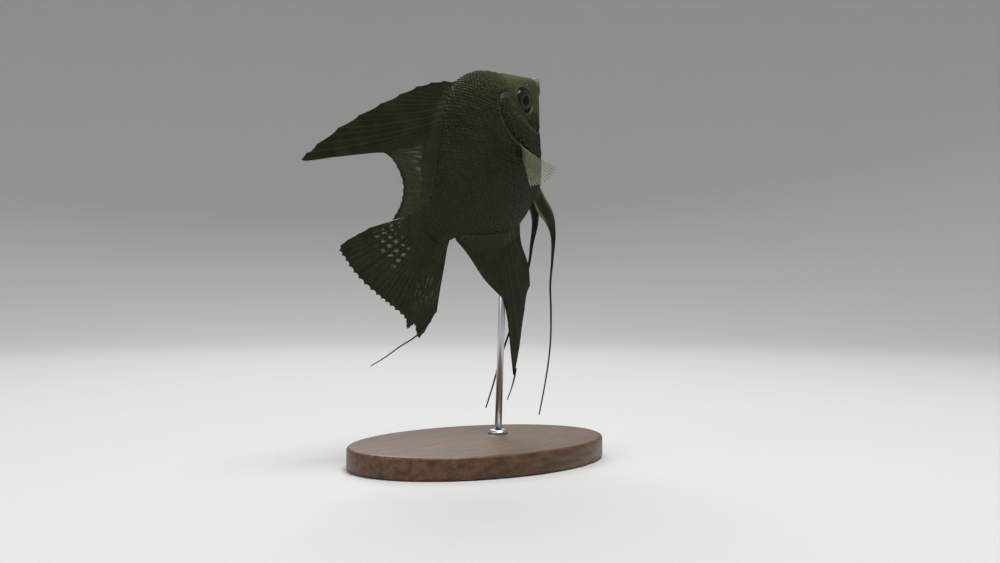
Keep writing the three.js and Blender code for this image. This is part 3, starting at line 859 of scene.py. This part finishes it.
pelvic = {
    "right": {
        "line": [[31.8, -26], [32.6, -34.5], [32.8, -41], [36.2, -47.4], [43.4, -53.8], [50.6, -59.6],
                 [56.9, -67.2], [64.8, -76], [73.8, -83.8], [87.5, -94.1]],
        "widths": [[0, 6.4], [0.12, 7.8], [0.22, 6.6], [0.32, 3.6], [0.45, 1.5], [0.6, 0.9], [1, 0.5]],
    },
    "left": {
        "line": [[31.8, -26], [32.4, -33.5], [36.2, -39.6], [43.4, -44.6], [50, -49], [62, -55],
                 [75.2, -60.6], [84.6, -65], [93.3, -70.2], [101.5, -75.1]],
        "widths": [[0, 6.2], [0.12, 6.8], [0.22, 4.4], [0.34, 2.2], [0.5, 1.2], [0.7, 0.8], [1, 0.5]],
    },
    "side": 1.9, "splay": 0.7, "rays": 6, "thick": 0.5, "web": 0.2,
}
pectoral = {
    "rootTop": [32.6, 6, -3.4], "rootFoot": [34, 6, -8],            # aft, out, rise
    "leadReach": [6.4, 17, -7.4], "trailReach": [11.4, 7, -6.1],    # from the root to the tips
    "fullness": 0.16, "droop": 1.6, "rays": 12, "thick": 0.26, "web": 0.07,
}


def makePelvic(name, hand, form, finish, nodes):
    widths = through(form["widths"])
    line = np.array(form["line"], float)

    def middle(u, v):
        t = np.clip(v, 0, 1) ** 1.25
        point = along(line, t)
        ahead = along(line, t + 0.01) - along(line, t - 0.01)
        ahead /= np.maximum(np.linalg.norm(ahead, axis=-1, keepdims=True), 1e-9)
        width = widths(t) * (1 - 0.5 * smooth((t - 0.97) / 0.03))
        across = ((u - 0.5) * width)[..., None] * np.stack([-ahead[..., 1], ahead[..., 0]], -1)
        flat = point - across
        cupped = 0.35 * np.cos(2 * np.pi * (u - 0.5)) * smooth(1 - t * 2.5)
        side = hand * (pelvic["side"] + pelvic["splay"] * np.minimum(3 * t, 1) + cupped)
        return np.stack([flat[..., 0], side, flat[..., 1]], -1)

    def half(u, v):
        t = np.clip(v, 0, 1) ** 1.25
        across = np.sqrt(np.clip(1 - (2 * u - 1) ** 2, 0.02, 1))
        rays = swell(((u * pelvic["rays"]) % 1 - 0.5) / 0.2)
        blade = pelvic["web"] + (pelvic["thick"] - pelvic["web"]) * rays
        narrow = np.minimum(widths(t) / 2.2, 1)
        return mix(np.minimum(widths(t), 0.8), blade, narrow) / 2 * across * (1 + 0.9 * smooth(1 - t * 9))

    return newPiece(name, slab(36, 150, middle, half), finish, nodes)


def makePectoral(name, hand, finish, nodes):
    root0, root1, lead, trail = [np.array(pectoral[key], float)
                                 for key in ("rootTop", "rootFoot", "leadReach", "trailReach")]

    def middle(u, v):
        u, v = u[..., None], v[..., None]
        full = 1 + pectoral["fullness"] * np.sin(np.pi * u) - 0.03 * np.cos(2 * np.pi * u * pectoral["rays"])
        point = mix(root0, root1, u) + mix(lead, trail, u) * full * v
        point[..., 2:] -= pectoral["droop"] * 4 * v * (1 - v)
        return point * np.array([1, hand, 1])

    def half(u, v):
        f = (u * pectoral["rays"]) % 1 - 0.5
        rays = swell((np.abs(f) - 0.2 * smooth((v - 0.5) / 0.4)) / 0.14)
        base = 0.8 * smooth(1 - v / 0.14)
        return (pectoral["web"] + pectoral["thick"] * rays * (1 - 0.7 * v) + base) / 2

    return newPiece(name, slab(144, 36, middle, half), finish, nodes)


def pelvicFinish():
    finish = Finish("pelvicSkin", Specular_IOR_Level=0.24, Specular_Tint=flesh["sheen"])
    place = finish.place()
    u, v, none = finish.axes(finish.uv("sheet"))
    cloud = finish.noise(place, 260, 3)
    margin = (u - 0.5).size().between(0.28, 0.46) * v.between(0.06, 0.14) * v.between(0.36, 0.24)
    pale = (v.between(0.12, 0.02) * 0.5).larger(margin * 0.7)
    dark = finish.blend(flesh["dark"], flesh["olive"], cloud.between(0.35, 0.7) * 0.8)
    finish.feed(Base_Color=finish.blend(dark, (0.16, 0.18, 0.11), pale))
    finish.feed(Roughness=0.36 + 0.22 * cloud)
    finish.bump(finish.noise(place, 1400, 2), 0.00008, 0.5)
    return finish.material


def pectoralFinish():
    finish = Finish("pectoralWeb", Specular_IOR_Level=0.4)
    place = finish.place()
    u, v, none = finish.axes(finish.uv("sheet"))
    bone = ((u * pectoral["rays"]).fraction() - 0.5).size().between(0.26, 0.12)
    root = v.between(0.2, 0.03)
    cloud = finish.noise(place, 320, 2)
    colour = finish.blend((0.30, 0.33, 0.20), (0.16, 0.17, 0.10), bone * 0.7)
    finish.feed(Base_Color=finish.blend(colour, (0.05, 0.055, 0.03), root))
    finish.feed(Roughness=0.3 + 0.2 * cloud)
    web = 0.10 + 0.34 * v.between(0.75, 0.1) + 0.1 * cloud
    finish.feed(Alpha=(web + 0.3 * bone).larger(root))
    return finish.material


pelvicSkin = pelvicFinish()
makePelvic("pelvic_ray_right", -1, pelvic["right"], pelvicSkin, ["pelvic_fin_right"])
makePelvic("pelvic_ray_left", 1, pelvic["left"], pelvicSkin, ["pelvic_fin_left"])
pectoralWeb = pectoralFinish()
makePectoral("pectoral_rays_right", -1, pectoralWeb, ["pectoral_fin_right"])
makePectoral("pectoral_rays_left", 1, pectoralWeb, ["pectoral_fin_left"])
print("paired fins made")

# ---- eyes ----

iris = {"pupil": 2.05, "ring": 2.3, "rim": 4.1, "black": (0.002, 0.002, 0.002),
        "gold": (0.040, 0.042, 0.020), "brown": (0.010, 0.011, 0.006)}


def eyeFinish():
    finish = Finish("fishEye", Roughness=0.35, Specular_IOR_Level=0.05, Coat_Weight=0.5, Coat_Roughness=0.02,
                    Coat_IOR=1.34)
    place = finish.place()
    radius = finish.attribute("fromPupil")
    streaks = finish.noise(place, 1500, 2)
    colour = finish.blend(iris["gold"], iris["brown"], radius.between(iris["ring"] - 0.1, iris["ring"] + 0.55))
    colour = finish.blend(colour, iris["gold"], streaks.between(0.5, 0.8) * 0.25)
    colour = finish.blend(iris["black"], colour, radius.between(iris["pupil"] - 0.12, iris["pupil"] + 0.1))
    finish.feed(Base_Color=finish.blend(colour, iris["black"], radius.between(3.5, iris["rim"])))
    return finish.material


def makeEye(name, hand, finish, nodes):
    bm = bmesh.new()
    bmesh.ops.create_uvsphere(bm, u_segments=64, v_segments=40, radius=1)
    bmesh.ops.rotate(bm, verts=bm.verts[:], matrix=Matrix.Rotation(math.pi / 2, 3, "X"))
    distance = [eyeForm["radius"] * math.hypot(vert.co.x, vert.co.z) if vert.co.y * hand > 0 else 9
                for vert in bm.verts]
    turn = hand * eyeForm["turn"]

    def shape(x, y, z):
        aft, side = -eyeForm["radius"] * x, eyeForm["depth"] * y
        aft, side = aft * math.cos(turn) + side * math.sin(turn), side * math.cos(turn) - aft * math.sin(turn)
        return toWorld(eyeForm["aft"] + aft, hand * eyeForm["side"] + side, eyeForm["rise"] + eyeForm["radius"] * z)

    warp(bm, shape)
    bmesh.ops.recalc_face_normals(bm, faces=bm.faces[:])
    eye = newPiece(name, bm, finish, nodes)
    eye.data.attributes.new("fromPupil", "FLOAT", "POINT").data.foreach_set("value", distance)
    return eye


eyeGloss = eyeFinish()
makeEye("eyeball_left", 1, eyeGloss, ["eye_left"])
makeEye("eyeball_right", -1, eyeGloss, ["eye_right"])
print("eyes made")

# ---- stand ----

stand = {"length": 112, "width": 78, "height": 8, "edge": 1.2, "rod": 1.3,
         "rodFoot": (18, 5.4, 4), "rodTop": (18, 1.8, 95), "collar": 3.8, "collarHeight": 1.6}


def woodFinish():
    finish = Finish("walnut", Specular_IOR_Level=0.3, Coat_Weight=0.12, Coat_Roughness=0.25)
    place = finish.place()
    stretched = finish.node("ShaderNodeMapping", None, {"Vector": place, "Scale": (6, 55, 55)})
    grain = finish.noise(stretched, 9, 5, 0.6)
    fibre = finish.noise(stretched, 60, 3, 0.7)
    rings = (grain * 14).fraction()
    colour = finish.blend((0.050, 0.024, 0.012), (0.135, 0.070, 0.034), grain.between(0.3, 0.7))
    colour = finish.blend(colour, (0.030, 0.014, 0.007), rings.between(0.75, 0.97) * 0.6)
    finish.feed(Base_Color=finish.blend(colour, (0.022, 0.011, 0.006), fibre.between(0.56, 0.72) * 0.5))
    finish.feed(Roughness=0.34 + 0.2 * fibre)
    finish.bump(fibre, 0.00012, 0.35)
    return finish.material


def steelFinish():
    finish = Finish("brushedSteel", Metallic=1.0)
    place = finish.place()
    brushed = finish.node("ShaderNodeMapping", None, {"Vector": place, "Scale": (900, 900, 30)})
    lines = finish.noise(brushed, 1, 3, 0.7)
    finish.feed(Base_Color=finish.blend((0.46, 0.47, 0.48), (0.62, 0.63, 0.64), lines))
    finish.feed(Roughness=0.24 + 0.2 * lines)
    finish.bump(lines, 0.00002, 0.3)
    return finish.material


def makeStand():
    bm = bmesh.new()
    bmesh.ops.create_circle(bm, segments=160, radius=1, cap_ends=True)
    bmesh.ops.scale(bm, verts=bm.verts[:], vec=(stand["length"] / 2, stand["width"] / 2, 1))
    raised = bmesh.ops.extrude_face_region(bm, geom=bm.faces[:])["geom"]
    moved = [g for g in raised if isinstance(g, bmesh.types.BMVert)]
    bmesh.ops.translate(bm, verts=moved, vec=(0, 0, stand["height"]))
    bmesh.ops.recalc_face_normals(bm, faces=bm.faces[:])
    edges = [e for e in bm.edges if abs(e.verts[0].co.z - e.verts[1].co.z) < 1e-6]
    bmesh.ops.bevel(bm, geom=edges, offset=stand["edge"], segments=5, profile=0.5, affect="EDGES", material=-1)
    bmesh.ops.scale(bm, verts=bm.verts[:], vec=(millimetre,) * 3)
    base = newPiece("stand_plinth", bm, woodFinish(), ["stand_base"])
    base.data.polygons.foreach_set("use_smooth", [abs(p.normal.z) < 0.999 for p in base.data.polygons])
    steel = steelFinish()
    foot, top = Vector(stand["rodFoot"]), Vector(stand["rodTop"])
    upright = (top - foot).to_track_quat("Z", "Y").to_matrix().to_4x4()
    bm = bmesh.new()
    bmesh.ops.create_cone(bm, segments=48, radius1=stand["rod"], radius2=stand["rod"], depth=(top - foot).length,
                          cap_ends=True, matrix=Matrix.Translation((foot + top) / 2) @ upright)
    bmesh.ops.scale(bm, verts=bm.verts[:], vec=(millimetre,) * 3)
    rod = newPiece("stand_upright", bm, steel, ["stand_rod"])
    rod.data.polygons.foreach_set("use_smooth", [len(p.vertices) == 4 for p in rod.data.polygons])
    bm = bmesh.new()
    inner, outer, tall = stand["rod"] + 0.15, stand["collar"], stand["collarHeight"]
    profile = [(inner, 0), (outer, 0), (outer, 0.5 * tall), (outer - 0.9, tall), (inner, tall)]
    verts = [bm.verts.new((x, 0, z)) for x, z in profile]
    edges = [bm.edges.new((verts[k], verts[(k + 1) % 5])) for k in range(5)]
    bmesh.ops.spin(bm, geom=verts + edges, cent=(0, 0, 0), axis=(0, 0, 1), angle=2 * math.pi, steps=64,
                   use_merge=True)
    bmesh.ops.remove_doubles(bm, verts=bm.verts[:], dist=1e-5)
    bmesh.ops.recalc_face_normals(bm, faces=bm.faces[:])
    rims = [e for e in bm.edges if e.calc_face_angle(0) > 0.5]
    bmesh.ops.bevel(bm, geom=rims, offset=0.15, segments=2, profile=0.5, affect="EDGES", material=-1)
    centre = foot.lerp(top, (stand["height"] - foot.z) / (top.z - foot.z))
    bmesh.ops.translate(bm, verts=bm.verts[:], vec=centre)
    bmesh.ops.scale(bm, verts=bm.verts[:], vec=(millimetre,) * 3)
    newPiece("stand_ferrule", bm, steel, ["stand_collar"])


makeStand()
print("stand made")

# ---- floor, light and camera ----

studio = {
    "floorRadius": 0.9, "coveRadius": 0.8, "wall": 1.5,
    "pale": (0.50, 0.50, 0.485),
    "world": 0.28,
    "lights": [                       # place, what it faces, size, watts
        ((-0.10, -0.30, 1.10), (0, 0, 0.08), 0.6, 14),
        ((-0.95, 0.25, 0.55), (0, 0, 0.08), 0.6, 3),
        ((0.55, 0.60, 0.80), (0, 0, 0.08), 0.6, 6),
    ],
    "camera": (-0.370183, -0.295720, 0.065408), "heading": -52.3, "lens": 46.8,
}


def makeFloor():
    bm = bmesh.new()
    radius, cove = studio["floorRadius"], studio["coveRadius"]
    profile = [(0.0, 0.0), (radius, 0.0)]
    profile += [(radius + cove * math.sin(a), cove - cove * math.cos(a))
                for a in np.linspace(0, math.pi / 2, 13)[1:]]
    profile.append((radius + cove, studio["wall"]))
    verts = [bm.verts.new((x, 0, z)) for x, z in profile]
    edges = [bm.edges.new(pair) for pair in zip(verts, verts[1:])]
    bmesh.ops.spin(bm, geom=verts + edges, cent=(0, 0, 0), axis=(0, 0, 1), angle=2 * math.pi, steps=96,
                   use_merge=True)
    bmesh.ops.remove_doubles(bm, verts=bm.verts[:], dist=1e-5)
    bmesh.ops.recalc_face_normals(bm, faces=bm.faces[:])
    if bm.faces[:][0].normal.z < 0:
        bmesh.ops.reverse_faces(bm, faces=bm.faces[:])
    mesh = bpy.data.meshes.new("floor")
    bm.to_mesh(mesh)
    bm.free()
    mesh.polygons.foreach_set("use_smooth", [True] * len(mesh.polygons))
    paper = Finish("palePaper", Roughness=0.9, Specular_IOR_Level=0.1)
    paper.shader.inputs["Base Color"].default_value = (*studio["pale"], 1)
    mesh.materials.append(paper.material)
    floor = bpy.data.objects.new("floor", mesh)
    bpy.context.collection.objects.link(floor)


def makeLights():
    world = bpy.data.worlds.new("studioAir")
    world.use_nodes = True
    world.node_tree.nodes["Background"].inputs["Color"].default_value = (1, 1, 1, 1)
    world.node_tree.nodes["Background"].inputs["Strength"].default_value = studio["world"]
    bpy.context.scene.world = world
    for k, (place, target, size, watts) in enumerate(studio["lights"]):
        lamp = bpy.data.lights.new(f"softbox_{k}", "AREA")
        lamp.shape = "DISK"
        lamp.size = size
        lamp.energy = watts
        box = bpy.data.objects.new(f"softbox_{k}", lamp)
        box.location = place
        box.rotation_euler = (Vector(target) - Vector(place)).to_track_quat("-Z", "Y").to_euler()
        bpy.context.collection.objects.link(box)


def makeCamera():
    lens = bpy.data.cameras.new("view")
    lens.lens = studio["lens"]
    lens.sensor_width = 36
    lens.clip_start = 0.01
    camera = bpy.data.objects.new("view", lens)
    camera.location = studio["camera"]
    camera.rotation_euler = (math.radians(90), 0, math.radians(studio["heading"]))
    bpy.context.collection.objects.link(camera)
    bpy.context.scene.camera = camera


makeFloor()
makeLights()
makeCamera()
bpy.context.scene.view_settings.view_transform = "Standard"
